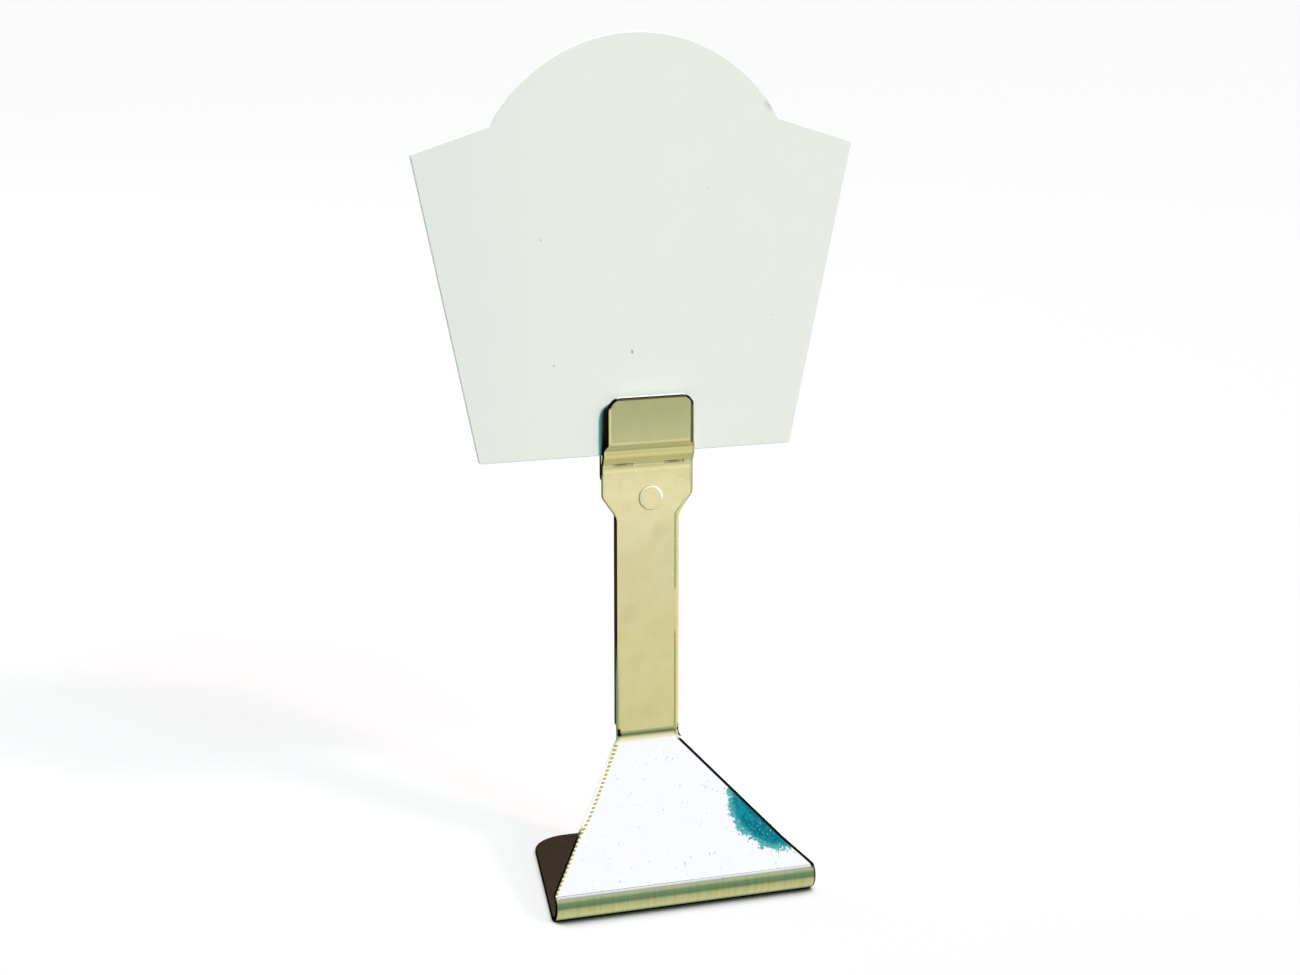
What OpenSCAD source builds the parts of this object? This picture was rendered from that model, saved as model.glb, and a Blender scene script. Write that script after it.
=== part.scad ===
/* [Sheet] */
// Thickness of the bent strip that makes the base, the stem and the front tongue
sheet_t = 0.9; // [0.7:0.05:1.2]
// Thickness of the flat leaf behind the stem
leaf_t = 0.9; // [0.7:0.05:1.2]

/* [Base] */
// Width of the base across its front roll
base_w = 50; // [42:1:64]
// Outer radius of the front roll
roll_r = 3; // [2:0.1:4]
// Slope of the flare between the roll and the stem, in degrees
flare_angle = 45; // [38:1:52]
// Height of the bend between the flare and the stem
flare_top = 25.9; // [20:0.1:34]
// Inside radius of that bend
flare_bend_r = 3; // [0.5:0.1:4]
// Reach of the plate behind the back of the stem
plate_back = 19.5; // [14:0.5:30]
// Width of the plate at its back edge, as if the corners were square
plate_back_w = 33; // [26:1:42]
// Radius of the plate's back corners
plate_corner_r = 8; // [3:0.5:10]

/* [Stem and head] */
// Width of the stem
stem_w = 12.2; // [9:0.1:15]
// Width of the head above the stem
head_w = 17.6; // [16.2:0.1:20]
// Height where the front shoulders start
shoulder_z = 68.2; // [60:0.1:69]
// Rise of each shoulder from the stem to the head
shoulder_rise = 3.8; // [2.5:0.1:4.5]
// Radius that rounds the foot of each shoulder
shoulder_foot_r = 3; // [1:0.1:4]
// Radius that rounds the outer corner of each shoulder
shoulder_corner_r = 1.6; // [0.5:0.1:2]

/* [Clip] */
// Height of the crease where the strip leaves the leaf
crease_z = 78; // [77:0.1:79]
// Rise of the crimp that opens the grip
grip_rise = 1.8; // [1.2:0.1:2.4]
// Height of the grip above the crimp
grip_h = 1.2; // [0.8:0.1:2]
// Forward step from the grip to the tongue
mouth_step = 1.1; // [0.6:0.1:1.6]
// Rise of that step
mouth_rise = 1.1; // [0.8:0.1:1.6]
// Inside radius of the crimped bends
crimp_r = 0.5; // [0.2:0.05:0.8]
// Width of the tongue
tongue_w = 16.6; // [14:0.1:17]
// Height of the tongue's upper edge
tongue_top = 90.8; // [88:0.1:100]
// Radius of the tongue's and the leaf's upper corners
tongue_corner_r = 2.6; // [1:0.1:4]
// Radius of the two short grooves that score the crease
score_r = 0.25; // [0.2:0.05:0.5]
// Depth of the grooves
score_depth = 0.15; // [0.05:0.05:0.25]
// Distance of each groove's inner end from the middle
score_in = 3; // [2:0.1:4]
// Distance of each groove's outer end from the middle
score_out = 6.9; // [5:0.1:7.5]

/* [Back leaf] */
// Distance from the flare's bend up to the leaf's lower end
leaf_lift = 1.6; // [0.4:0.1:4]
// Distance from the front shoulders up to the leaf's own shoulders
leaf_shoulder_lift = 3.4; // [1:0.1:4]
// Width of the mark that the spot weld leaves on the leaf
weld_d = 3.2; // [2:0.1:4]
// Depth of the mark
weld_depth = 0.15; // [0.05:0.05:0.3]
// Height of the spot weld above the flare's bend
weld_lift = 6; // [4:0.5:12]

/* [Rivet] */
// Diameter of the rivet's shank
rivet_d = 3; // [2:0.1:3.5]
// Diameter of its low head
rivet_head_d = 4.6; // [4.2:0.1:6]
// Height of the head
rivet_head_h = 0.4; // [0.35:0.05:0.8]
// Radius that rounds the rim
rivet_rim_r = 0.3; // [0.1:0.05:0.3]
// Diameter of the upset tail
rivet_tail_d = 4.4; // [4:0.1:5.6]
// Height of the upset tail
rivet_tail_h = 0.5; // [0.3:0.05:0.8]
// Height of the rivet above the foot of the shoulders
rivet_lift = 3.3; // [2.5:0.1:5]
// Sideways place of the rivet
rivet_x = 0.5; // [-1:0.1:1]
// Radial clearance of the shank in its holes
rivet_clear = 0.05; // [0.02:0.01:0.1]

/* [Card] */
// Thickness of the card
card_t = 0.8; // [0.4:0.05:1.2]
// Gap on each side of the card in the grip
card_clear = 0.05; // [0.03:0.01:0.1]
// Height of the card's lower edge above the crimp
card_seat = 0.15; // [0.1:0.05:0.4]
// Sideways place of the card in the clip
card_x = -2; // [-4:0.1:4]
// Width of the card's lower edge
card_foot_w = 59.6; // [40:0.5:70]
// Width across the shoulders
card_w = 82.8; // [75:0.5:100]
// Height from the lower edge to the shoulders' outer corners
card_side_h = 55.2; // [50:0.5:58]
// Slope of the shoulders, in degrees
card_slope = 17.4; // [10:0.2:22]
// Radius of the dome
dome_r = 31; // [28:0.5:33]
// Height of the dome's centre above the lower edge
dome_z = 44.5; // [42:0.5:50]
// Radius of the card's four corners
card_corner_r = 0.5; // [0.3:0.1:3]

/* [Hidden] */
$fn = 96;
// Turn of each short straight that draws a bend or a rounded corner, in degrees
arc_step = 5;
// Overrun of the cuts past the faces that they open
over = 1;
half = 0.5;

// Gap between the strip and the leaf where the card is gripped
grip_gap = card_t + 2 * card_clear;
grip_z = crease_z + grip_rise;
mouth_z = grip_z + grip_h;
tongue_z = mouth_z + mouth_rise;
// Middle plane of the strip in the stem, then in the grip and in the tongue
stem_y = -sheet_t * half;
grip_y = stem_y - grip_gap;
tongue_y = grip_y - mouth_step;
// Middle plane of the plate, and the sharp corner where the flare would meet it
plate_z = sheet_t * half;
foot_y = stem_y - (flare_top - plate_z) / tan(flare_angle);
// Centre of the front roll, and the height where the flare runs into it
roll_y = foot_y + (roll_r - plate_z) / tan(flare_angle * half);
roll_top_z = roll_r * (1 + cos(flare_angle));
rivet_z = shoulder_z + rivet_lift;
card_z = grip_z + card_seat;

// Middle line of the strip from the back of the front roll to the top of the tongue, seen from the
// side: the place of each corner and the radius of its bend
strip_line = [
    [roll_y, plate_z, 0],
    [foot_y, plate_z, roll_r - plate_z],
    [stem_y, flare_top, flare_bend_r + plate_z],
    [stem_y, crease_z, crimp_r + plate_z],
    [grip_y, grip_z, crimp_r + plate_z],
    [grip_y, mouth_z, crimp_r + plate_z],
    [tongue_y, tongue_z, crimp_r + plate_z],
    [tongue_y, tongue_top, 0]
];

function place(p) = [p[0], p[1]];
function unit(v) = v / norm(v);
function heading(v) = atan2(v[1], v[0]);
function turn(a, b, c) =
    let (d = heading(place(c) - place(b)) - heading(place(b) - place(a)))
    d > 180 ? d - 360 : d < -180 ? d + 360 : d;
// Distance from a corner to the point where its bend starts
function setback(a, b, c) = b[2] * tan(abs(turn(a, b, c)) * half);
function bend_start(a, b, c) = place(b) - unit(place(b) - place(a)) * setback(a, b, c);
function bend_centre(a, b, c) =
    let (way = unit(place(b) - place(a)), side = sign(turn(a, b, c)))
    bend_start(a, b, c) + side * b[2] * [-way[1], way[0]];
// Points of the arc round one corner, or of its parallel a shift to the left
function bend_arc(a, b, c, shift = 0) =
    let (
        centre = bend_centre(a, b, c),
        from = heading(bend_start(a, b, c) - centre),
        sweep = turn(a, b, c),
        r = b[2] - sign(sweep) * shift,
        steps = ceil(abs(sweep) / arc_step)
    )
    b[2] == 0 ? [place(b)] :
    [for (i = [0:steps]) centre + r * [cos(from + sweep * i / steps), sin(from + sweep * i / steps)]];
// Closed outline through corners that each have a place and a radius
function rounded(c) =
    let (n = len(c))
    [for (i = [0:n - 1]) each bend_arc(c[(i + n - 1) % n], c[i], c[(i + 1) % n])];
// The right half of an outline, then the same half mirrored to the left
function both_halves(right) =
    concat(right, [for (i = [len(right) - 1:-1:0]) [-right[i][0], right[i][1], right[i][2]]]);

// Points of one face of a bent sheet, a shift to the left of its middle line
function face_points(line, shift) =
    let (last = len(line) - 1)
    [for (i = [0:last])
        let (way = unit(place(line[min(i + 1, last)]) - place(line[min(i, last - 1)])))
        each (i == 0 || i == last ? [place(line[i]) + shift * [-way[1], way[0]]]
            : bend_arc(line[i - 1], line[i], line[i + 1], shift))];

// Side view of a sheet bent along a middle line
module bent_sheet(line, t) {
    left = face_points(line, t * half);
    right = face_points(line, -t * half);
    polygon(concat(left, [for (i = [len(right) - 1:-1:0]) right[i]]));
}

// Turns a drawing of depth and height so that it is extruded across the width
module across(w) {
    rotate([90, 0, 90])
        linear_extrude(height = w, center = true)
            children();
}

// Turns a drawing of width and height so that it is extruded backwards from the depth y
module backwards(y, depth) {
    translate([0, y + depth, 0])
        rotate([90, 0, 0])
            linear_extrude(height = depth)
                children();
}

// Front view of the strip, from below the roll to the top of the tongue
module strip_front() {
    polygon(rounded(both_halves([
        [base_w * half, -over, 0],
        [base_w * half, roll_top_z, plate_z],
        [stem_w * half, flare_top, shoulder_corner_r],
        [stem_w * half, shoulder_z, shoulder_foot_r],
        [head_w * half, shoulder_z + shoulder_rise, shoulder_corner_r],
        [head_w * half, mouth_z, crimp_r],
        [tongue_w * half, tongue_z, crimp_r],
        [tongue_w * half, tongue_top, tongue_corner_r]
    ])));
}

// Plan of the plate: its sides draw in from the roll to the back edge
module plate_plan() {
    polygon(rounded(both_halves([
        [base_w * half, roll_y, 0],
        [plate_back_w * half, plate_back, plate_corner_r]
    ])));
}

module rivet_hole() {
    translate([rivet_x, 0, rivet_z])
        rotate([90, 0, 0])
            cylinder(h = 2 * (sheet_t + leaf_t + over), d = rivet_d + 2 * rivet_clear, center = true);
}

// Short groove that scores the crease on one side of the head
module crease_score(side) {
    translate([side * (score_in + score_out) * half, score_depth - sheet_t - score_r, crease_z])
        rotate([0, 90, 0])
            cylinder(h = score_out - score_in, r = score_r, center = true);
}

// One bent strip: plate, front roll, flare, stem, head, crimped grip and tongue
module stand_strip() {
    color("lightgoldenrodyellow")
        difference() {
            union() {
                linear_extrude(height = sheet_t)
                    plate_plan();
                intersection() {
                    across(base_w)
                        bent_sheet(strip_line, sheet_t);
                    backwards(roll_y - roll_r - over, roll_r + 2 * over - roll_y)
                        strip_front();
                }
            }
            rivet_hole();
            for (side = [-1, 1])
                crease_score(side);
        }
}

// Flat leaf that backs the stem and the card
module back_leaf() {
    leaf_shoulder_z = shoulder_z + leaf_shoulder_lift;
    color("khaki")
        difference() {
            backwards(0, leaf_t)
                polygon(rounded(both_halves([
                    [stem_w * half, flare_top + leaf_lift, shoulder_corner_r],
                    [stem_w * half, leaf_shoulder_z, shoulder_foot_r],
                    [head_w * half, leaf_shoulder_z + shoulder_rise, shoulder_corner_r],
                    [head_w * half, tongue_top, tongue_corner_r]
                ])));
            rivet_hole();
            translate([0, leaf_t + over, flare_top + weld_lift])
                rotate([90, 0, 0])
                    cylinder(h = over + weld_depth, d = weld_d);
        }
}

// Rivet through the head: low head with a rounded rim in front, upset tail behind
module rivet() {
    color("gold")
        translate([rivet_x, 0, rivet_z])
            rotate([90, 0, 0]) {
                translate([0, 0, -leaf_t])
                    cylinder(h = leaf_t + sheet_t, d = rivet_d);
                translate([0, 0, sheet_t])
                    rotate_extrude()
                        polygon(rounded([
                            [0, 0, 0],
                            [rivet_head_d * half, 0, 0],
                            [rivet_head_d * half, rivet_head_h, rivet_rim_r],
                            [0, rivet_head_h, 0]
                        ]));
                translate([0, 0, -leaf_t - rivet_tail_h])
                    cylinder(h = rivet_tail_h, d = rivet_tail_d);
            }
}

// Stiff card: sides that spread upwards, sloping shoulders and a round dome
module card() {
    color("whitesmoke")
        translate([card_x, 0, card_z])
            backwards(-card_clear - card_t, card_t)
                union() {
                    polygon(rounded([
                        [card_foot_w * half, 0, card_corner_r],
                        [card_w * half, card_side_h, card_corner_r],
                        [0, card_side_h + card_w * half * tan(card_slope), 0],
                        [-card_w * half, card_side_h, card_corner_r],
                        [-card_foot_w * half, 0, card_corner_r]
                    ]));
                    translate([0, dome_z])
                        circle(dome_r);
                }
}

stand_strip();
back_leaf();
rivet();
card();
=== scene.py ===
import math
from collections import namedtuple

import bpy
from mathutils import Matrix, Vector


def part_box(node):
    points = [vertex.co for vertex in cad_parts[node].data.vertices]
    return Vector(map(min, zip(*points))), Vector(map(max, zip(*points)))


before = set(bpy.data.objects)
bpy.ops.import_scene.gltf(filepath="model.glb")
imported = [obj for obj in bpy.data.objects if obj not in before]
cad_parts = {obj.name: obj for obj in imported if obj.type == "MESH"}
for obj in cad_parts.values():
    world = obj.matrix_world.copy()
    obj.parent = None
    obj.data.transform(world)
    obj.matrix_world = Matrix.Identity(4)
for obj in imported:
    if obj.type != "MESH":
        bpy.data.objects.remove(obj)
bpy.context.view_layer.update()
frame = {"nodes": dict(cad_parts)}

MM = 0.001

# Measures of the place card holder, in metres, the first ones from the frame

STRIP_LOW, STRIP_HIGH = (Vector(corner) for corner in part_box("stand_strip"))
RIVET_LOW, RIVET_HIGH = (Vector(corner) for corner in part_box("rivet"))
CARD_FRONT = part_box("card")[0][1]
BASE_HALF_W = STRIP_HIGH.x
ROLL_FRONT = STRIP_LOW.y
TONGUE_TOP = STRIP_HIGH.z
RIVET_CENTRE = (RIVET_LOW + RIVET_HIGH) / 2
RIVET_HALF_W = (RIVET_HIGH.x - RIVET_LOW.x) / 2
SHEET_T = 0.9 * MM
STEM_HALF_W = 6.1 * MM
HEAD_HALF_W = 8.8 * MM
TONGUE_HALF_W = 8.3 * MM
TONGUE_CORNER_R = 2.6 * MM
ROLL_TOP = 5.1 * MM
FLARE_TOP = 25.9 * MM
SHOULDER_Z = 68.2 * MM
SHOULDER_TOP = 72 * MM
CREASE_Z = 78 * MM
MOUTH_Z = 81 * MM
TONGUE_FOOT = 82.1 * MM
GROOVE_R = 0.25 * MM
GROOVE_AXIS_Y = -1 * MM
GROOVE_INNER = 3 * MM
GROOVE_OUTER = 6.9 * MM


# Node trees as Python expressions

class Amount:
    """A number that varies over a surface. Arithmetic on it adds Math nodes to its tree."""

    def __init__(self, nodes, socket):
        self.nodes = nodes
        self.socket = socket

    def math(self, operation, *others):
        node = self.nodes.add("ShaderNodeMath", {"operation": operation},
                              dict(enumerate([self, *others])))
        return Amount(self.nodes, node.outputs[0])

    def __add__(self, other):
        return self.math("ADD", other)

    def __sub__(self, other):
        return self.math("SUBTRACT", other)

    def __mul__(self, other):
        return self.math("MULTIPLY", other)

    def __truediv__(self, other):
        return self.math("DIVIDE", other)

    def __rsub__(self, other):
        return self.nodes.number(other).math("SUBTRACT", self)

    def __abs__(self):
        return self.math("ABSOLUTE")

    def __gt__(self, other):
        return self.math("GREATER_THAN", other)

    __radd__ = __add__
    __rmul__ = __mul__

    def most(self, other):
        return self.math("MAXIMUM", other)

    def least(self, other):
        return self.math("MINIMUM", other)

    def ramp(self, low, high, start=0.0, end=1.0):
        """Goes smoothly from start to end while this amount goes from low to high."""
        node = self.nodes.add(
            "ShaderNodeMapRange", {"interpolation_type": "SMOOTHSTEP"},
            {"Value": self, "From Min": low, "From Max": high, "To Min": start, "To Max": end})
        return Amount(self.nodes, node.outputs["Result"])

    def fall(self, low, high):
        """Goes smoothly from 1 to 0 while this amount goes from low to high."""
        return self.ramp(low, high, 1.0, 0.0)

    def within(self, low, high, soft):
        """1 between two values and 0 outside them."""
        return self.ramp(low - soft, low + soft) * self.fall(high - soft, high + soft)


def reach(across, up):
    """How far a point lies from an axis."""
    return (across * across + up * up).math("SQRT")


class Nodes:
    """A node tree under construction."""

    def __init__(self, tree):
        self.tree = tree
        self.tree.nodes.clear()

    def add(self, kind, settings=None, sockets=None):
        """Any node: its settings first, then the values or links of its sockets."""
        node = self.tree.nodes.new(kind)
        for key, value in (settings or {}).items():
            if key == "stops":
                set_stops(node.color_ramp, value)
            else:
                setattr(node, key, value)
        for key, value in (sockets or {}).items():
            self.join(node.inputs[key], value)
        return node

    def join(self, socket, value):
        if isinstance(value, Amount):
            value = value.socket
        if isinstance(value, bpy.types.NodeSocket):
            self.tree.links.new(value, socket)
        elif socket.type == "RGBA":
            socket.default_value = (*value, 1.0)
        else:
            socket.default_value = value

    def number(self, value):
        node = self.add("ShaderNodeValue")
        node.outputs[0].default_value = value
        return Amount(self, node.outputs[0])

    def axes(self, vector):
        """The three numbers of a vector."""
        node = self.add("ShaderNodeSeparateXYZ", None, {"Vector": vector})
        return [Amount(self, out) for out in node.outputs]

    def mix(self, share, one, other):
        """A colour between two colours."""
        node = self.add("ShaderNodeMix", {"data_type": "RGBA"}, {0: share, 6: one, 7: other})
        return node.outputs[2]


def set_stops(ramp, stops):
    while len(ramp.elements) < len(stops):
        ramp.elements.new(1.0)
    for element, (position, colour) in zip(ramp.elements, stops):
        element.position = position
        element.color = (*colour, 1.0)


# Hairline scratches: how their noise is stretched, and its peaks that show as scratches
HAIRLINE_STRETCH = (1.0, 1.5, 40.0)
HAIRLINE_PEAKS = (0.735, 0.76)


class Finish(Nodes):
    """A material under construction."""

    def __init__(self, name):
        self.material = bpy.data.materials.new(name)
        self.material.use_nodes = True
        super().__init__(self.material.node_tree)
        self.where = self.add("ShaderNodeTexCoord")

    def place(self, stretch=(1, 1, 1)):
        """Object coordinates, stretched."""
        node = self.add("ShaderNodeMapping", {"vector_type": "POINT"}, {
            "Vector": self.where.outputs["Object"], "Scale": stretch})
        return node.outputs["Vector"]

    def noise(self, vector, scale, detail, roughness):
        node = self.add("ShaderNodeTexNoise", None, {
            "Vector": vector, "Scale": scale, "Detail": detail, "Roughness": roughness})
        return Amount(self, node.outputs["Fac"])

    def hairlines(self, turn, scale):
        """A few thin scratches that run one way, at an angle to the upright."""
        way = self.add("ShaderNodeMapping", {"vector_type": "TEXTURE"}, {
            "Vector": self.where.outputs["Object"], "Rotation": (0.0, turn, 0.0),
            "Scale": HAIRLINE_STRETCH})
        noise = self.noise(way.outputs["Vector"], scale, detail=1.0, roughness=0.4)
        return noise.ramp(*HAIRLINE_PEAKS)

    def spot(self, centre, radius, softness):
        """1 inside a round spot of the object's space, 0 outside it."""
        node = self.add("ShaderNodeVectorMath", {"operation": "DISTANCE"}, {
            0: self.where.outputs["Object"], 1: centre})
        return Amount(self, node.outputs["Value"]).fall(radius, radius + softness)

    def spots(self, y, places):
        """Soft spots on a face at one depth. Each has its place across and its height, radius
        and softness in mm, and a share."""
        total = 0.0
        for x, z, radius, softness, share in places:
            centre = (x * MM, y, z * MM)
            total = self.spot(centre, radius * MM, softness * MM) * share + total
        return total

    def bump(self, height, strength, distance, under=None):
        node = self.add("ShaderNodeBump", None, {
            "Height": height, "Strength": strength, "Distance": distance})
        if under is not None:
            self.join(node.inputs["Normal"], under)
        return node.outputs["Normal"]

    def output(self, shader):
        self.add("ShaderNodeOutputMaterial", None, {"Surface": shader.outputs[0]})
        return self.material

    def surface(self, sockets):
        return self.output(self.add("ShaderNodeBsdfPrincipled", None, sockets))


# Polished steel, with a warm tint

BLACK = (0.0, 0.0, 0.0)
STEEL = (0.81, 0.775, 0.63)
STEEL_WARM = (0.785, 0.745, 0.57)
STEEL_SMUDGED = (0.70, 0.675, 0.53)
# Darker cut edges, a tone also painted as shade on the roll's downward faces
STEEL_CUT_EDGE_AND_SHADE = (0.42, 0.40, 0.31)
# Black of the places painted black as shade
STEEL_BLACK = (0.008, 0.008, 0.007)
# Painted shade, highlights and reflections along the bend over the flare and across the crimp
STEEL_FOLDED = (0.34, 0.42, 0.34)
STEEL_CRIMPED = (0.79, 0.74, 0.50)
STEEL_CREASED = (0.58, 0.54, 0.34)
STEEL_CREAM = (0.95, 0.92, 0.66)
STEEL_GOLD_RISE = (0.80, 0.74, 0.40)
STEEL_STEP_SHADE = (0.58, 0.57, 0.27)
STEEL_GROOVE_SHADE = (0.36, 0.37, 0.18)
# Tones of the front roll: its streaks, and a painted shade along its brow
STEEL_STREAKED = (0.62, 0.60, 0.42)
STEEL_BROW = (0.62, 0.60, 0.54)
# Painted reflections, highlights and shade: the lines along the edges, the left side faces and the
# rivet's rim
STEEL_GREEN = (0.44, 0.50, 0.30)
STEEL_OLIVE = (0.38, 0.40, 0.16)
STEEL_UMBER = (0.08, 0.075, 0.02)
STEEL_GOLD_DASH = (0.36, 0.31, 0.07)
STEEL_GOLD_PALE_LINE = (0.74, 0.62, 0.27)
# Green painted on the left side faces as shade and reflection
STEEL_SIDE_GREEN = (0.45, 0.55, 0.40)
# Pale matt tone of the painted highlights
STEEL_PAINTED_HIGHLIGHT = (0.93, 0.93, 0.90)
# White metal tone of the painted highlight margin along the flare's left edge
STEEL_WHITE = (0.98, 0.98, 1.0)
# Matt tone painted on the rivet's rim in place of the head's reflection
STEEL_RIM_PAINTED_TONE = (0.80, 0.76, 0.50)
# A painted teal reflection on the flare
STEEL_TEAL = (0.0, 0.123, 0.129)
STEEL_TEAL_LIGHT = (0.010, 0.221, 0.219)
STEEL_TEAL_PALE = (0.088, 0.344, 0.282)
TEAL_REFLECTION_CENTRE = (21.0 * MM, -12.8 * MM, 14.2 * MM)
TEAL_REFLECTION_RADIUS = 10.0 * MM
# Light on the step under the tongue, as if from below
MOUTH_LIGHT = (0.22, 0.20, 0.085)
# Finger marks on the strip's front
SMUDGES = ((2.5, 65.5, 0.6, 1.6, 0.35), (-3.5, 50.1, 0.7, 1.8, 0.45), (0.7, 30.7, 0.5, 2.2, 0.3),
           (-4.2, 70.0, 0.4, 1.2, 0.25), (3.4, 41.0, 0.3, 1.5, 0.2))
# Depth of the sheet's waves and of its rolling lines
WAVE_DEPTH = 0.05 * MM
LINE_DEPTH = 0.006 * MM
# How fine the steel's noises are, per metre
LINE_SCALE = 7000.0
BROAD_LINE_SCALE = 1300.0
STREAK_SCALE = 1500.0
SMUDGE_SCALE = 190.0
CLOUD_SCALE = 260.0
WAVE_SCALE = 45.0
TEAL_SPECK_SCALE = 1500.0
TEAL_CLOUD_SCALE = 500.0


class Mark(namedtuple("Mark", "share tone rough hidden", defaults=(0.0, 0.0))):
    """A place on the steel and its tone, with the roughness that it adds and the share of the
    metal that it hides."""


def rolled_steel(name, marks):
    """Polished sheet: fine rolling lines along the strip, soft smudges and hairline scratches.
    What marks gives for a sub-part is a list of its own marks, some of them painted shade,
    highlights and reflections, a list of its places painted black as shade, and the painted light
    that it sends out."""
    f = Finish(name)
    z = f.axes(f.where.outputs["Object"])[2]
    lines = f.noise(f.place((1, 0.03, 0.03)), LINE_SCALE, detail=3.0, roughness=0.6)
    broad_lines = f.noise(f.place((1, 0.05, 0.05)), BROAD_LINE_SCALE, detail=2.0, roughness=0.5)
    handled = z.ramp(FLARE_TOP - 2 * MM, FLARE_TOP + 2 * MM, 0.25, 1.0)
    smudges = f.noise(f.place(), SMUDGE_SCALE, detail=4.0, roughness=0.55)
    smudges = smudges.ramp(0.45, 0.75) * handled
    prints = f.spots(-SHEET_T, SMUDGES)
    cloud = f.noise(f.place(), CLOUD_SCALE, detail=3.0, roughness=0.55)
    cloud = cloud.ramp(0.35, 0.65) * handled
    waves = f.noise(f.place((1, 0.5, 0.5)), WAVE_SCALE, detail=1.0, roughness=0.4)
    scratches = f.hairlines(turn=0.5, scale=900.0) + f.hairlines(turn=-1.1, scale=700.0)
    scratches = scratches.least(1.0)
    tone = f.mix(cloud, STEEL, STEEL_WARM)
    tone = f.mix((smudges * 0.35 + prints + scratches * 0.06).least(1.0), tone, STEEL_SMUDGED)
    rough = 0.085 + lines * 0.04 + broad_lines * 0.02 + smudges * 0.04 + prints * 0.06
    rough = rough + scratches * 0.03
    metal = 1.0
    own_marks, black_places, light = marks(f)
    for mark in own_marks:
        tone = f.mix(mark.share, tone, mark.tone)
        rough = rough + mark.share * mark.rough
        metal = (1.0 - mark.share * mark.hidden) * metal
    normal = f.bump(waves, 0.3, WAVE_DEPTH)
    normal = f.bump(lines * 0.6 + broad_lines * 0.4, 0.2, LINE_DEPTH, normal)
    steel = f.add("ShaderNodeBsdfPrincipled", None, {
        "Base Color": tone, "Metallic": metal, "Roughness": rough, "Normal": normal,
        "Emission Color": light, "Emission Strength": 1.0})
    if not black_places:
        return f.output(steel)
    black = 0.0
    for share in black_places:
        black = share.most(black)
    # Matt black for the places painted black as shade
    painted_black = f.add("ShaderNodeBsdfDiffuse", None, {"Color": STEEL_BLACK})
    return f.output(f.add("ShaderNodeMixShader", None, {
        0: black, 1: steel.outputs[0], 2: painted_black.outputs[0]}))


def half_width(z):
    """Half the width of the strip at a height: flare, stem, shoulders, head, tongue."""
    def reached(low, high):
        return ((z - low) / (high - low)).most(0.0).least(1.0)

    return (STEM_HALF_W + reached(FLARE_TOP, ROLL_TOP) * (BASE_HALF_W - STEM_HALF_W)
            + reached(SHOULDER_Z, SHOULDER_TOP) * (HEAD_HALF_W - STEM_HALF_W)
            + reached(MOUTH_Z, TONGUE_FOOT) * (TONGUE_HALF_W - HEAD_HALF_W))


# Marks of the strip: the heights between which they lie, and their places and sizes

BROW = (4.55 * MM, 4.95 * MM)
LEFT_SIDE_SHADE_FADE = (12.5 * MM, 14.5 * MM)
FOLD = (26.6 * MM, 27.35 * MM)
LEFT_FADE = (34 * MM, 46 * MM)
RIM_GAP = (45.8 * MM, 54 * MM)
LOW_HEAD = (SHOULDER_Z + 0.5 * MM, 76 * MM)
RIDGE = (CREASE_Z - 1.4 * MM, CREASE_Z - 0.9 * MM)
CREASED = (CREASE_Z - 0.65 * MM, CREASE_Z - 0.2 * MM)
RISE = (CREASE_Z + 0.1 * MM, CREASE_Z + 0.7 * MM)
CRIMP = (CREASE_Z + 0.3 * MM, TONGUE_FOOT + 0.3 * MM)
MOUTH = (MOUTH_Z - 0.15 * MM, TONGUE_FOOT)
STEP = (MOUTH_Z, MOUTH_Z + 0.7 * MM)
GROOVE_FADE = 0.6 * MM
LINE_SOFT = 0.08 * MM
# Half widths of the painted dark line and the painted golden line beside the flare's edges
SHADE_LINE_HALF_W = 0.36 * MM
GOLDEN_LINE_HALF_W = 0.3 * MM
DASH_PITCH = 0.56 * MM
# Spots painted black as shade where the bend over the flare meets the side edges
BEND_SHADE_SPOT_Y = -1.1 * MM
BEND_SHADE_SPOTS = ((-5.75, 27.6, 0.25, 0.35, 1.0), (-5.7, 26.9, 0.3, 0.35, 1.0), (6.05, 27.6, 0.2, 0.3, 1.0),
           (6.1, 26.9, 0.3, 0.35, 1.0), (6.4, 26.0, 0.45, 0.4, 1.0))


class StripPlace:
    """Where a point of the strip lies: its coordinates, its normal, how far it lies past each side
    edge, and whether it is on one stretch or another."""

    def __init__(self, f):
        self.nx, self.ny, self.nz = f.axes(f.where.outputs["Normal"])
        self.x, self.y, self.z = f.axes(f.where.outputs["Object"])
        width = half_width(self.z)
        self.right = self.x - width
        self.left = 0.0 - self.x - width
        self.foot = self.z.fall(ROLL_TOP - 0.5 * MM, ROLL_TOP)
        self.flare = self.z.within(ROLL_TOP - 0.5 * MM, FLARE_TOP - 0.6 * MM, 0.3 * MM)
        self.upper = self.z.ramp(FLARE_TOP - 0.4 * MM, FLARE_TOP + 0.2 * MM)
        self.head = self.z.ramp(SHOULDER_Z, SHOULDER_TOP)
        self.tongue = self.z.ramp(MOUTH_Z, TONGUE_FOOT)
        self.front = self.ny.fall(-0.3, 0.0)


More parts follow.
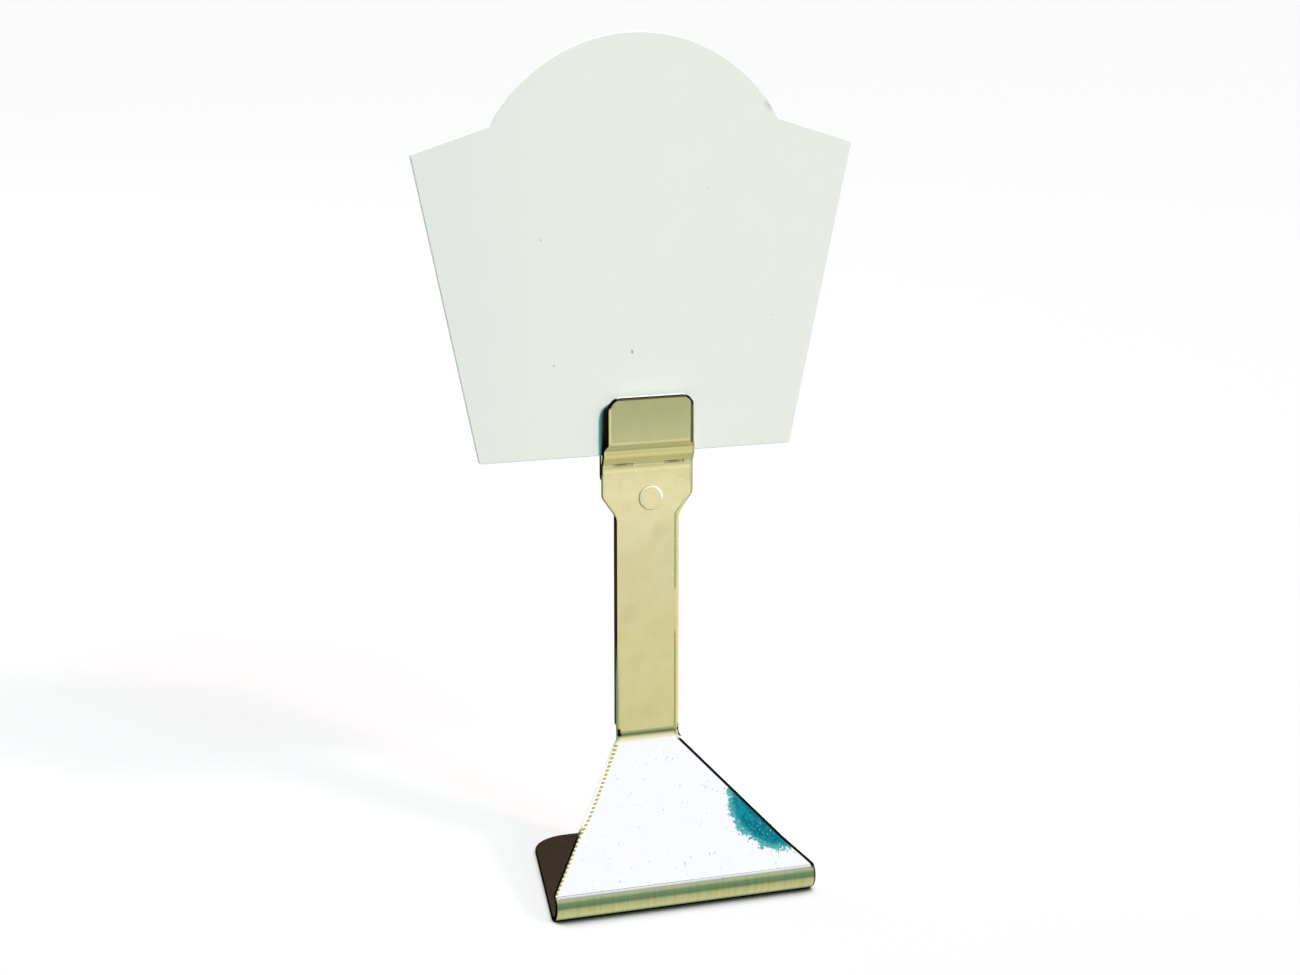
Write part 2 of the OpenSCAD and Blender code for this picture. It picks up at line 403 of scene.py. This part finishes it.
def crimp_marks(at):
    """A green painted shade along the bend over the flare. Higher up the crimp in a painted
    reflection tone: a golden painted reflection on its rise, with painted darker shade in the crease
    and a painted pale highlight on the ridge below it, painted shade on the step under the tongue,
    and painted shade in the two scored grooves."""
    groove = reach(at.y - GROOVE_AXIS_Y, at.z - CREASE_Z).fall(
        GROOVE_R + 0.02 * MM, GROOVE_R + 0.08 * MM)
    scored = abs(at.x).within(GROOVE_INNER + GROOVE_FADE, GROOVE_OUTER - GROOVE_FADE, 0.9 * MM)
    return [
        Mark(at.z.within(*FOLD, 0.25 * MM), STEEL_FOLDED, rough=0.05),
        Mark(at.z.within(*CRIMP, 0.4 * MM), STEEL_CRIMPED, rough=0.10),
        Mark(at.z.within(*RISE, 0.2 * MM), STEEL_GOLD_RISE, hidden=0.6),
        Mark(at.z.within(*CREASED, 0.2 * MM) * 0.6, STEEL_CREASED),
        Mark(at.z.within(*RIDGE, 0.25 * MM) * 0.6, STEEL_CREAM),
        Mark(at.z.within(*MOUTH, 0.25 * MM), STEEL_STEP_SHADE, rough=0.25, hidden=0.85),
        Mark(groove * scored, STEEL_GROOVE_SHADE, rough=0.25, hidden=0.5)]


def roll_marks(f, at):
    """The front roll's faint streaks, a painted shade along the brow where the flare starts, and a
    darker, rougher painted shade on the downward faces underneath. The roll's right end is painted
    black as shade, and so is the brink of its left end."""
    rolled = at.z.fall(ROLL_TOP - 0.6 * MM, ROLL_TOP) * at.y.fall(
        ROLL_FRONT + 3 * MM, ROLL_FRONT + 4 * MM)
    streaks = f.noise(f.place((1, 0.06, 0.06)), STREAK_SCALE, detail=2.0, roughness=0.6)
    streaks = streaks.ramp(0.42, 0.62) * rolled
    under = at.nz.fall(-0.97, -0.85) * at.z.fall(SHEET_T, ROLL_TOP)
    end = at.right.ramp(-0.42 * MM, -0.3 * MM) * at.foot
    brink = at.nx.fall(-0.45, -0.25) * at.foot
    own_marks = [
        Mark(streaks * 0.5, STEEL_STREAKED, rough=0.06),
        Mark(at.z.within(*BROW, 0.15 * MM) * at.front, STEEL_BROW, rough=0.05),
        Mark(under, STEEL_CUT_EDGE_AND_SHADE, rough=0.12)]
    return own_marks, [end, brink]


def edge_marks(at):
    """Painted reflections and shade in lines along the side edges above the flare. On the right a
    golden line goes up the stem with a green line inside it, which breaks off for a while, and an
    olive line goes up the head and a dark one up the tongue. On the left the lower stem is olive,
    and the head and above all the tongue have a golden line."""
    stem = at.upper * (1.0 - at.head)
    green = at.right.within(-1.0 * MM, -0.6 * MM, LINE_SOFT) * stem * (
        1.0 - at.z.within(*RIM_GAP, 0.8 * MM))
    moss = at.left.ramp(-0.8 * MM, -0.05 * MM) * at.upper * at.z.fall(*LEFT_FADE)
    olive = at.right.ramp(-0.75 * MM, -0.1 * MM) * at.head * (1.0 - at.tongue)
    dark = at.right.within(-0.8 * MM, -0.22 * MM, LINE_SOFT) * at.tongue
    shiny = at.left.ramp(-0.62 * MM, -0.5 * MM) * at.tongue.most(0.25) * at.head
    return [
        Mark(moss, STEEL_OLIVE, rough=0.15, hidden=0.6),
        Mark(green, STEEL_GREEN, rough=0.05),
        Mark(olive, STEEL_OLIVE, rough=0.15, hidden=0.6),
        Mark(dark, STEEL_UMBER, rough=0.15, hidden=1.0),
        Mark(at.right.ramp(-0.6 * MM, -0.5 * MM) * stem, STEEL_GOLD_PALE_LINE, rough=0.1, hidden=1.0),
        Mark(shiny, STEEL_GOLD_PALE_LINE, rough=0.1, hidden=1.0)]


def teal_reflection(f, face):
    """A painted teal reflection on the flare, whose paler edge breaks up into specks."""
    specks = f.noise(f.place(), TEAL_SPECK_SCALE, detail=3.0, roughness=0.75)
    cloud = f.noise(f.place(), TEAL_CLOUD_SCALE, detail=2.0, roughness=0.5)
    inside = f.spot(TEAL_REFLECTION_CENTRE, TEAL_REFLECTION_RADIUS - 1.8 * MM, 2.8 * MM)
    core = f.spot(TEAL_REFLECTION_CENTRE, TEAL_REFLECTION_RADIUS - 3.5 * MM, 3.2 * MM)
    share = (inside + (specks - 0.5) * 2.6 + (cloud - 0.5) * 0.8).ramp(0.45, 0.6)
    tone = f.mix((specks * 0.7 + cloud * 0.3).ramp(0.44, 0.56), STEEL_TEAL, STEEL_TEAL_LIGHT)
    tone = f.mix((core + (specks - 0.5) * 1.5).ramp(0.1, 0.6), STEEL_TEAL_PALE, tone)
    return Mark(share * face, tone)


def flare_marks(f, at):
    """The flare's painted teal reflection and the painted lines beside its edges. A black line of
    painted shade runs a little inside the right edge and a dashed golden line of painted
    reflection inside the left one, with a painted pale highlight margin outside each. The lower
    part of the left side is painted black as shade."""
    shade_line_path = at.right + at.z.ramp(ROLL_TOP, ROLL_TOP + 5 * MM, 0.42 * MM, 0.9 * MM)
    shade_line = shade_line_path.within(-SHADE_LINE_HALF_W, SHADE_LINE_HALF_W, LINE_SOFT) * at.flare
    margin = shade_line_path.ramp(0.34 * MM, 0.42 * MM) * at.flare
    outside = at.left.ramp(-0.45 * MM, -0.35 * MM) * at.flare * at.z.ramp(11 * MM, 14 * MM)
    golden_line_path = at.left + at.z.ramp(12.2 * MM, 15.5 * MM, 0.1 * MM, 0.58 * MM) - at.z.ramp(
        17 * MM, 26 * MM, 0.0, 0.28 * MM)
    golden_line = golden_line_path.within(-GOLDEN_LINE_HALF_W, GOLDEN_LINE_HALF_W, LINE_SOFT) * at.flare
    dashes = (at.z * (math.tau / DASH_PITCH)).math("SINE").ramp(0.1, 0.9)
    left_side_shade = at.nx.fall(-0.6, -0.35) * at.flare * at.z.fall(*LEFT_SIDE_SHADE_FADE)
    own_marks = [
        teal_reflection(f, at.flare * at.front),
        Mark(margin, STEEL_PAINTED_HIGHLIGHT, rough=0.2, hidden=1.0),
        Mark(outside, STEEL_WHITE),
        Mark(golden_line, f.mix(dashes, STEEL_GOLD_DASH, STEEL_CREAM), rough=0.1, hidden=1.0)]
    return own_marks, [shade_line, left_side_shade]


def side_marks(at):
    """The left side faces outside the flare, painted green as shade and reflection, and olive on the
    lower head. They are painted black as shade at their foot, and from the middle of the stem up
    apart from the lower head."""
    sideways = at.nx.fall(-0.75, -0.5) * (1.0 - at.flare)
    low_head = at.z.within(*LOW_HEAD, 0.5 * MM)
    green_side = sideways * (1.0 - low_head)
    dark = at.z.ramp(*LEFT_FADE).most(at.z.fall(8 * MM, 12 * MM))
    own_marks = [
        Mark(green_side, STEEL_SIDE_GREEN, rough=0.2),
        Mark(sideways * low_head, STEEL_OLIVE, rough=0.2, hidden=0.5)]
    return own_marks, [green_side * dark]


def tongue_marks(at):
    """The tongue's painted dark line along its upper front edge and painted highlight on its crown.
    Its back, its upper rim and its rounded corners are painted black as shade."""
    lip = at.z.ramp(TONGUE_TOP - 0.7 * MM, TONGUE_TOP - 0.55 * MM) * at.ny.fall(-0.8, -0.6)
    crown = at.z.ramp(TONGUE_TOP - 1 * MM, TONGUE_TOP - 0.6 * MM) * at.nz.ramp(0.6, 0.75)
    back = at.tongue * at.ny.ramp(0.3, 0.6)
    rim = at.z.ramp(TONGUE_TOP - 2.8 * MM, TONGUE_TOP - 2.4 * MM) * at.nz.ramp(0.05, 0.3)
    beyond = abs(at.x) - (TONGUE_HALF_W - TONGUE_CORNER_R)
    higher = at.z - (TONGUE_TOP - TONGUE_CORNER_R)
    corner = reach(beyond, higher).ramp(TONGUE_CORNER_R - 0.5 * MM, TONGUE_CORNER_R - 0.35 * MM)
    corner = corner * beyond.ramp(0.5 * MM, 1.2 * MM) * higher.ramp(0.2 * MM, 0.9 * MM)
    own_marks = [
        Mark(lip, STEEL_UMBER, rough=0.2, hidden=0.8),
        Mark(crown, STEEL_PAINTED_HIGHLIGHT, rough=0.3, hidden=1.0)]
    return own_marks, [rim * (1.0 - crown), back * (1.0 - crown), corner]


def strip_marks(f):
    """All marks of the strip. A later mark covers an earlier one."""
    at = StripPlace(f)
    roll, roll_black = roll_marks(f, at)
    flare, flare_black = flare_marks(f, at)
    sides, sides_black = side_marks(at)
    (lip, crown), tongue_black = tongue_marks(at)
    bend_shade_spots = f.spots(BEND_SHADE_SPOT_Y, BEND_SHADE_SPOTS).least(1.0)
    step = at.z.within(*STEP, 0.3 * MM) * at.front
    return ([*crimp_marks(at), *roll, *edge_marks(at), lip, *flare, *sides, crown],
            [*roll_black, *flare_black, *sides_black, *tongue_black, bend_shade_spots],
            f.mix(step, BLACK, MOUTH_LIGHT))


def leaf_marks(f):
    """The leaf's sheared edges, darker; those facing left are painted black as shade."""
    nx, ny, _ = f.axes(f.where.outputs["Normal"])
    edge = abs(ny).fall(0.3, 0.7)
    side = nx.fall(-0.75, -0.5)
    return [Mark(edge, STEEL_CUT_EDGE_AND_SHADE, rough=0.12)], [side], BLACK


def rivet_marks(f):
    """A rim round the rivet's head in a matt tone that stands in for the head's reflection, apart
    from a painted highlight at its upper right.
    """
    x, _, z = f.axes(f.where.outputs["Object"])
    across = x - RIVET_CENTRE.x
    above = z - RIVET_CENTRE.z
    rim = reach(across, above).ramp(RIVET_HALF_W - 0.6 * MM, RIVET_HALF_W - 0.3 * MM)
    bright = across.ramp(0.7 * MM, 1.2 * MM) * above.ramp(-0.5 * MM, 0.1 * MM)
    own_marks = [
        Mark(rim * (1.0 - bright), STEEL_RIM_PAINTED_TONE, rough=0.25, hidden=0.7),
        Mark(rim * bright, STEEL_PAINTED_HIGHLIGHT, rough=0.3, hidden=1.0)]
    return own_marks, [], BLACK


# Stiff white card

CARD_WHITE = (0.803, 0.807, 0.750)
CARD_SHADE = (0.791, 0.798, 0.740)
CARD_LEFT_SHADE = (0.757, 0.777, 0.720)
# Painted glow that makes the card's cut edge pale
CARD_EDGE_GLOW = (0.34, 0.35, 0.32)
CARD_GRAIN_SCALE = 5200.0
CARD_GRAIN_DEPTH = 0.02 * MM
CARD_MOTTLE_SCALE = 110.0
CARD_SHADE_REACH = 3 * MM
DUST = (0.27, 0.28, 0.25)
# Specks of dust on the card
SPECKS = ((-3.0, 98.6, 0.16, 0.16, 0.8), (-3.05, 98.95, 0.1, 0.15, 0.5),
          (-20.0, 119.5, 0.15, 0.2, 0.3), (-17.8, 96.9, 0.14, 0.2, 0.35),
          (22.7, 142.3, 0.3, 0.5, 0.25), (23.4, 141.7, 0.3, 0.7, 0.22),
          (11.5, 127.5, 0.1, 0.15, 0.25), (24.0, 104.0, 0.1, 0.15, 0.25))


def painted_card():
    """Stiff card: a satin face with a faint grain and specks of dust, its left side a little
    darker as painted shade, and a deep painted shade close to the tongue's left edge. Its cut
    edge is made paler by a painted glow."""
    f = Finish("white_card_board")
    grain = f.noise(f.place(), CARD_GRAIN_SCALE, detail=3.0, roughness=0.6)
    mottle = f.noise(f.place(), CARD_MOTTLE_SCALE, detail=3.0, roughness=0.55)
    x, _, z = f.axes(f.where.outputs["Object"])
    ny = f.axes(f.where.outputs["Normal"])[1]
    edge = abs(ny).fall(0.3, 0.7)
    tone = f.mix(mottle.ramp(0.3, 0.7), CARD_WHITE, CARD_SHADE)
    # Painted shade: the card is a little darker towards its left side
    tone = f.mix((x + mottle * 20 * MM).fall(-32 * MM, -2 * MM), tone, CARD_LEFT_SHADE)
    tone = f.mix(f.spots(CARD_FRONT, SPECKS), tone, DUST)
    # Painted shade: the card is darkened where the tongue stands close beside it
    nearby = f.add("ShaderNodeAmbientOcclusion", {"samples": 8}, {"Distance": CARD_SHADE_REACH})
    beside = x.fall(-TONGUE_HALF_W, -TONGUE_HALF_W + 2 * MM) * z.fall(
        TONGUE_TOP - 2.6 * MM, TONGUE_TOP - 1.6 * MM)
    shade = Amount(f, nearby.outputs["AO"]).fall(0.62, 0.80) * beside * (1.0 - edge)
    tone = f.mix(shade, tone, BLACK)
    rough = 0.42 + grain * 0.10 + mottle * 0.05
    return f.surface({
        "Base Color": tone, "Metallic": 0.0, "Roughness": rough,
        "Normal": f.bump(grain, 0.15, CARD_GRAIN_DEPTH), "Specular IOR Level": 0.2,
        "Emission Color": f.mix(edge, BLACK, CARD_EDGE_GLOW), "Emission Strength": 1.0})


# CAD nodes: deburred edges and smooth bends

BEVELLED_ANGLE = 35
SHARP_ANGLE = 40
FLAT_ANGLE = 0.1
MERGE_DISTANCE = 1e-6
BEVEL_SEGMENTS = 4
SHEET_EDGE_R = 0.32 * MM
RIVET_EDGE_R = 0.08 * MM
CARD_EDGE_R = 0.1 * MM
HOLE_REACH = 5 * MM
# Boxes whose edges stay as they are, each given by its centre and half size
RIVET_HOLE = (RIVET_CENTRE, (RIVET_HALF_W, HOLE_REACH, RIVET_HALF_W))
GROOVES = ((0, -SHEET_T, CREASE_Z), (GROOVE_OUTER + 0.2 * MM, 2 * GROOVE_R, 2 * GROOVE_R))


class Shape(Nodes):
    """A geometry node tree under construction, with an angle as its named input."""

    def __init__(self, name, angle_name, angle):
        super().__init__(bpy.data.node_groups.new(name, "GeometryNodeTree"))
        face = self.tree.interface
        face.new_socket("Geometry", in_out="INPUT", socket_type="NodeSocketGeometry")
        limit = face.new_socket(angle_name, in_out="INPUT", socket_type="NodeSocketFloat")
        limit.default_value = math.radians(angle)
        face.new_socket("Geometry", in_out="OUTPUT", socket_type="NodeSocketGeometry")
        self.start = self.add("NodeGroupInput")
        self.angle = Amount(
            self, self.add("GeometryNodeInputMeshEdgeAngle").outputs["Unsigned Angle"])
        self.limit = self.start.outputs[angle_name]

    def finish(self, last):
        self.add("NodeGroupOutput", None, {"Geometry": last.outputs["Geometry"]})
        return self.tree


def marked_edges(name, spared):
    """Marks the sharp edges for the bevel, apart from those inside a few boxes."""
    g = Shape(name, "Bevelled angle", BEVELLED_ANGLE)
    place = g.axes(g.add("GeometryNodeInputPosition").outputs["Position"])
    weight = g.angle > g.limit
    for centre, half in spared:
        outside = 0.0
        for along, middle, room in zip(place, centre, half):
            outside = (abs(along - middle) > room).most(outside)
        weight = weight * outside
    return g.finish(g.add(
        "GeometryNodeStoreNamedAttribute", {"data_type": "FLOAT", "domain": "EDGE"},
        {"Geometry": g.start.outputs["Geometry"], "Name": "bevel_weight_edge", "Value": weight}))


def smooth_bends():
    """Smooth shading over every edge that turns less than an angle."""
    g = Shape("smooth_bends", "Sharp angle", SHARP_ANGLE)
    faces = g.add("GeometryNodeSetShadeSmooth", None, {
        "Geometry": g.start.outputs["Geometry"]})
    return g.finish(g.add("GeometryNodeSetShadeSmooth", {"domain": "EDGE"}, {
        "Geometry": faces.outputs["Geometry"],
        "Shade Smooth": g.angle.math("LESS_THAN", g.limit)}))


def deburr(piece, radius, spared, smooth):
    """Rounds the edges of a CAD node by a small radius and shades its bends smoothly."""
    weld = piece.modifiers.new("merged", "WELD")
    weld.merge_threshold = MERGE_DISTANCE
    flat = piece.modifiers.new("flat", "DECIMATE")
    flat.decimate_type = "DISSOLVE"
    flat.angle_limit = math.radians(FLAT_ANGLE)
    marks = piece.modifiers.new("marked", "NODES")
    marks.node_group = marked_edges(piece.name + "_edges", spared)
    bevel = piece.modifiers.new("deburred", "BEVEL")
    bevel.width = radius
    bevel.segments = BEVEL_SEGMENTS
    bevel.limit_method = "WEIGHT"
    bevel.use_clamp_overlap = False
    bends = piece.modifiers.new("smooth", "NODES")
    bends.node_group = smooth
    normals = piece.modifiers.new("even_normals", "WEIGHTED_NORMAL")
    normals.keep_sharp = True


def dress(piece, material):
    piece.data.materials.clear()
    piece.data.materials.append(material)


nodes = frame["nodes"]
smooth = smooth_bends()
dress(nodes["stand_strip"], rolled_steel("rolled_steel_strip", strip_marks))
dress(nodes["back_leaf"], rolled_steel("rolled_steel_leaf", leaf_marks))
dress(nodes["rivet"], rolled_steel("pressed_steel_rivet", rivet_marks))
dress(nodes["card"], painted_card())
deburr(nodes["stand_strip"], SHEET_EDGE_R, [RIVET_HOLE, GROOVES], smooth)
deburr(nodes["back_leaf"], SHEET_EDGE_R, [RIVET_HOLE], smooth)
deburr(nodes["rivet"], RIVET_EDGE_R, [], smooth)
deburr(nodes["card"], CARD_EDGE_R, [], smooth)


# Floor

FLOOR_HALF_W = 9
FLOOR_PALE = (0.84, 0.84, 0.84)
FLOOR_BOUNCE = (0.12, 0.12, 0.12)
FLOOR_CONTACT_SHADE = (0.03, 0.04, 0.03)
FLOOR_SHADE_REACH = 5 * MM
GLOW_SEEN = 0.86
GLOW_MIRRORED = 0.3
WHITE = (1, 1, 1)


def floor_finish():
    """Matt and pale, and lit of itself for the camera, so that it shows white, but not where
    the object nearly touches it: there its colour is painted dark as contact shade. It sends
    less light back up, so that shadows on the object stay deep."""
    f = Finish("pale_floor")
    rays = f.add("ShaderNodeLightPath")
    camera = Amount(f, rays.outputs["Is Camera Ray"])
    glossy = Amount(f, rays.outputs["Is Glossy Ray"])
    glass = Amount(f, rays.outputs["Is Transmission Ray"])
    bounced = Amount(f, rays.outputs["Is Diffuse Ray"])
    nearby = f.add("ShaderNodeAmbientOcclusion", {"samples": 8}, {"Distance": FLOOR_SHADE_REACH})
    open_share = Amount(f, nearby.outputs["AO"]).ramp(0.25, 0.9)
    matt = f.add("ShaderNodeBsdfDiffuse", None, {"Color": f.mix(
        open_share, FLOOR_CONTACT_SHADE, f.mix(bounced, FLOOR_PALE, FLOOR_BOUNCE))})
    glow = f.add("ShaderNodeEmission", None, {"Color": WHITE, "Strength": 1.0})
    share = (camera + glass) * open_share * GLOW_SEEN + glossy * GLOW_MIRRORED
    return f.output(f.add("ShaderNodeMixShader", None, {
        0: share, 1: matt.outputs[0], 2: glow.outputs[0]}))


floor_mesh = bpy.data.meshes.new("floor")
floor_mesh.from_pydata(
    [(x * FLOOR_HALF_W, y * FLOOR_HALF_W, 0) for x, y in ((-1, -1), (1, -1), (1, 1), (-1, 1))],
    [], [range(4)])
floor = bpy.data.objects.new("floor", floor_mesh)
bpy.context.scene.collection.objects.link(floor)
dress(floor, floor_finish())


# Cards round the object, seen only in what the steel mirrors, with sizes and places in mm

def stage_card(name, corners, material):
    mesh = bpy.data.meshes.new(name)
    mesh.from_pydata([[c * MM for c in p] for p in corners], [], [range(len(corners))])
    piece = bpy.data.objects.new(name, mesh)
    bpy.context.scene.collection.objects.link(piece)
    dress(piece, material)
    piece.visible_camera = False
    piece.visible_diffuse = False
    piece.visible_shadow = False
    piece.visible_transmission = False


def toned(name, axis, tones):
    """Plain light whose tones are set at places along one axis."""
    f = Finish(name)
    first, last = tones[0][0], tones[-1][0]
    place = f.axes(f.where.outputs["Object"])["xyz".index(axis)]
    ramp = f.add("ShaderNodeValToRGB", {
        "stops": [((at - first) / (last - first), tone) for at, tone in tones]},
        {"Fac": (place / MM - first) / (last - first)})
    return f.output(f.add("ShaderNodeEmission", None, {"Color": ramp.outputs["Color"]}))


def lying(x0, x1, y0, y1, z=0.06):
    return [(x0, y0, z), (x1, y0, z), (x1, y1, z), (x0, y1, z)]


def standing(x0, x1, y, z0, z1):
    return [(x0, y, z0), (x1, y, z0), (x1, y, z1), (x0, y, z1)]


def facing(centre, normal, radius):
    """A square card round a centre, square to a direction, whose corners lie on a radius."""
    turn = Vector(normal).to_track_quat("Z", "Y")
    return [Vector(centre) + turn @ Vector((
        radius * math.cos(math.tau * (i + 0.5) / 4),
        radius * math.sin(math.tau * (i + 0.5) / 4), 0)) for i in range(4)]


# Depths at which stage cards end or stand
WALL_Y = -900
CREAM_Y = -385
FENCE_Y = -31
LOW_STRIP_Y = -21.1
UNDER_STRIP_Y = -14
# Half the width of the narrow cards before the front roll
NARROW = 70

GOLD = (0.74, 0.69, 0.38)
SAGE = (0.50, 0.54, 0.335)
UMBER = (0.055, 0.037, 0.027)
UMBER_DARK = (0.04, 0.03, 0.024)
INK = (0.006, 0.007, 0.007)
MOSS = (0.25, 0.36, 0.20)
GLARE = (1.195, 1.26, 1.61)
BRIGHT = (3, 3, 3)

stage_card("cream_card", lying(-420, 700, CREAM_Y, FENCE_Y), toned("cream_tones", "y", [
    (CREAM_Y, SAGE), (-362, SAGE), (-349, (1.1, 1.05, 0.74)), (-303, (1.09, 1.05, 0.77)),
    (-250, (0.855, 0.85, 0.62)), (-226, (0.83, 0.82, 0.575)), (-129, (0.812, 0.79, 0.50)),
    (-76, (0.786, 0.762, 0.46)), (-36, GOLD), (FENCE_Y, GOLD)]))
stage_card("sage_card", lying(-700, 1200, WALL_Y, CREAM_Y), toned("sage_tones", "y", [
    (WALL_Y, (0.28, 0.33, 0.18)), (-640, (0.31, 0.37, 0.22)), (-560, SAGE), (CREAM_Y, SAGE)]))
stage_card("front_wall", standing(-900, 1800, WALL_Y, 0, 2400), toned("wall_tones", "z", [
    (0, (0.28, 0.33, 0.17)), (80, (0.28, 0.32, 0.165)), (186, (0.34, 0.37, 0.19)),
    (302, (0.515, 0.513, 0.308)), (428, (0.82, 0.79, 0.59)), (569, (0.973, 0.94, 0.79)),
    (800, (1.05, 1.04, 0.98)), (1200, (1.10, 1.13, 1.20)), (1600, (1.16, 1.22, 1.41)),
    (2400, (1.17, 1.24, 1.50))]))
stage_card("low_fence", standing(-NARROW, NARROW, FENCE_Y, 0.1, 15), toned("fence_tones", "z", [
    (0.1, (0.177, 0.26, 0.145)), (2, (0.178, 0.285, 0.18)), (3.5, (0.178, 0.32, 0.22)),
    (5, (0.18, 0.32, 0.21)), (6, (0.23, 0.36, 0.235)), (7.1, (0.32, 0.44, 0.29)),
    (8.6, (0.48, 0.585, 0.40)), (12, (0.55, 0.617, 0.476)), (15, (0.61, 0.655, 0.60))]))
stage_card("low_strip", lying(-NARROW, NARROW, FENCE_Y, LOW_STRIP_Y, 0.1), toned("strip_tones", "y", [
    (FENCE_Y, (0.23, 0.30, 0.165)), (-30.2, (0.255, 0.323, 0.181)), (-27.7, (0.383, 0.45, 0.26)),
    (-26.2, (0.516, 0.583, 0.347)), (-24.5, (0.59, 0.625, 0.355)), (-23.3, (0.665, 0.675, 0.376)),
    (-22.1, (0.67, 0.73, 0.47)), (LOW_STRIP_Y, (0.16, 0.20, 0.13))]))
# A black card standing in for the shade under the roll, which the roll's underside mirrors
stage_card("under_strip", lying(-NARROW, NARROW, LOW_STRIP_Y, UNDER_STRIP_Y), toned(
    "under_tones", "y", [(LOW_STRIP_Y, INK), (UNDER_STRIP_Y, INK)]))
stage_card("gold_right", lying(27, 480, -12, 300), toned("gold_tones", "y", [
    (-12, (0.90, 0.79, 0.39)), (300, (0.80, 0.66, 0.28))]))
stage_card("white_right", [(480, -420, 8), (480, 160, 8), (480, 160, 520), (480, -420, 520)],
           toned("white_tones", "z", [(8, WHITE), (120, BRIGHT), (520, BRIGHT)]))
stage_card("umber_back", standing(-110, 760, 330, 2, 190), toned("umber_tones", "z", [
    (2, UMBER), (190, UMBER_DARK)]))
stage_card("moss_left", lying(-900, -28, -18, 900), toned("moss_tones", "y", [
    (-18, MOSS), (900, MOSS)]))
stage_card("overhead_glare", facing((295, -206, 866), (-0.32, 0.21, -0.92), 430),
           toned("glare_tones", "z", [(500, GLARE), (1200, GLARE)]))


# Light

# Two suns a few degrees apart, white together: beside a shadow one alone leaves a teal fringe
KEY_WARM = (1.0, 0.61, 0.62)
KEY_COOL = (0.0, 0.365, 0.37)
KEY_STRENGTH = 4.0
KEY_SPREAD = 6
SKY_LEFT = (0.01, 0.06, 0.065)
SKY_RIGHT = (0.42, 0.39, 0.37)


def studio_sky():
    """White for what the camera and the steel see, and a plain soft light that comes more from
    the right for everything else."""
    world = bpy.data.worlds.new("studio")
    world.use_nodes = True
    bpy.context.scene.world = world
    n = Nodes(world.node_tree)
    rays = n.add("ShaderNodeLightPath")
    seen = Amount(n, rays.outputs["Is Camera Ray"]).most(
        Amount(n, rays.outputs["Is Glossy Ray"])).most(
        Amount(n, rays.outputs["Is Transmission Ray"]))
    across = n.axes(n.add("ShaderNodeTexCoord").outputs["Generated"])[0]
    light = n.mix(seen, n.mix(across.ramp(0.1, 0.95), SKY_LEFT, SKY_RIGHT), WHITE)
    shader = n.add("ShaderNodeBackground", None, {"Color": light, "Strength": 1.0})
    n.add("ShaderNodeOutputWorld", None, {"Surface": shader.outputs[0]})


def aim(thing, place, target):
    thing.location = place
    thing.rotation_mode = "QUATERNION"
    thing.rotation_quaternion = (Vector(target) - Vector(place)).to_track_quat("-Z", "Y")
    bpy.context.scene.collection.objects.link(thing)


def sun(name, place, strength, spread, colour):
    lamp = bpy.data.lights.new(name, "SUN")
    lamp.energy = strength
    lamp.color = colour
    lamp.angle = math.radians(spread)
    shade = bpy.data.objects.new(name, lamp)
    aim(shade, place, (0, 0, 0))
    shade.visible_glossy = False


def softbox(name, place, target, size, power):
    lamp = bpy.data.lights.new(name, "AREA")
    lamp.shape = "SQUARE"
    lamp.size = size
    lamp.energy = power
    box = bpy.data.objects.new(name, lamp)
    aim(box, place, target)
    box.visible_glossy = False


studio_sky()
sun("key_warm", (0.42, -0.67, 0.61), KEY_STRENGTH, KEY_SPREAD, KEY_WARM)
sun("key_cool", (0.24, -0.75, 0.61), KEY_STRENGTH, KEY_SPREAD, KEY_COOL)
softbox("overhead", (0.295, -0.206, 0.866), (0, -0.01, 0.015), size=0.6, power=0.8)
softbox("back_fill", (-0.62, 0.85, 0.85), (0, 0, 0.08), size=0.9, power=9.0)


# Camera, solved from the straight edges of the base, the stem and the card

AZIMUTH = math.radians(-19.632)
ELEVATION = math.radians(12.5)
AIM = Vector((0.382, -0.9, 73.4)) * MM
DISTANCE = 473.2 * MM
SENSOR_W = 36.0
# The focal length and the picture's width, in pixels
FOCAL_PX = 2593
PICTURE_PX = 1300
towards = Vector((-math.sin(AZIMUTH) * math.cos(ELEVATION),
                  math.cos(AZIMUTH) * math.cos(ELEVATION), -math.sin(ELEVATION)))
lens = bpy.data.cameras.new("camera")
lens.sensor_fit = "HORIZONTAL"
lens.sensor_width = SENSOR_W
lens.lens = SENSOR_W * FOCAL_PX / PICTURE_PX
lens.clip_start = 0.01
lens.clip_end = 60.0
camera = bpy.data.objects.new("camera", lens)
aim(camera, AIM - towards * DISTANCE, AIM)
bpy.context.scene.camera = camera
bpy.context.scene.view_settings.view_transform = "Standard"
